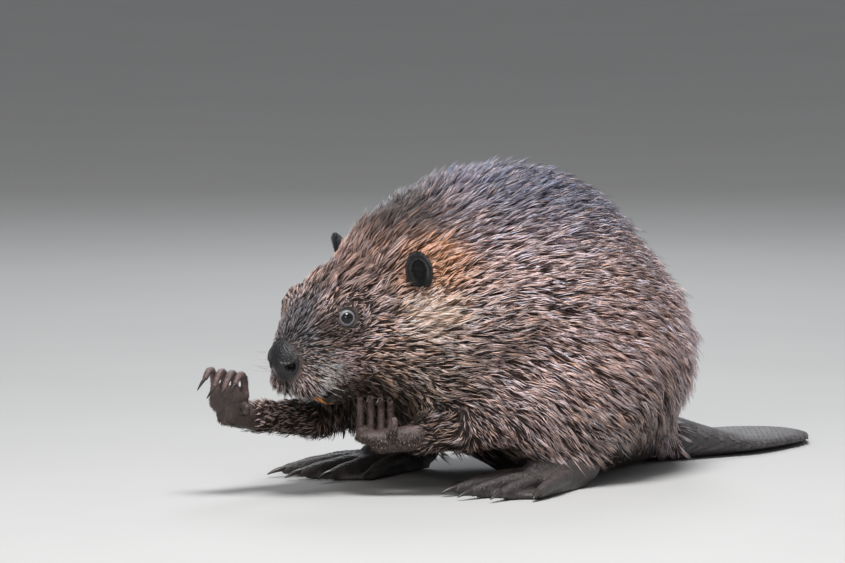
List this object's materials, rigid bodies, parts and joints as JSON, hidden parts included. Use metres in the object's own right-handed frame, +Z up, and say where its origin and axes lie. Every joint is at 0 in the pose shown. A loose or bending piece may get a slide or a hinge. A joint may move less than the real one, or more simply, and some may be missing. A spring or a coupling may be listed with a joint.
{
  "type": "beaver",
  "caption": "Life-size beaver sitting hunched on its hind feet with both forepaws lifted to its mouth and its flat scaly tail laid out behind.",
  "frame": {"origin": "middle of the bounding box's bottom face, on the floor the animal sits on", "axes": "-X the way the animal faces, -Y its left side, +Z up"},
  "size_m": [0.7682, 0.3414, 0.2909],
  "materials": {
    "coat": "wet brown fur in pointed locks",
    "muzzle_coat": "short grey-brown fur",
    "leather": "bare black skin",
    "bare_skin": "bare dark skin with dark claws",
    "scales": "dark flat scales",
    "eye": "wet dark eye",
    "enamel": "orange tooth enamel"
  },
  "bodies": {
    "root": {"head": "coat", "muzzle": "muzzle_coat", "nose": "leather", "neck": "coat", "trunk": "coat", "tail": "scales", "left_ear": "leather", "right_ear": "leather", "left_eye": "eye", "right_eye": "eye", "upper_incisors": "enamel", "lower_incisors": "enamel", "left_foreleg": "coat", "right_foreleg": "coat", "left_forepaw": "bare_skin", "right_forepaw": "bare_skin", "left_hind_leg": "coat", "right_hind_leg": "coat", "left_hind_foot": "bare_skin", "right_hind_foot": "bare_skin"}
  },
  "joints": []
}
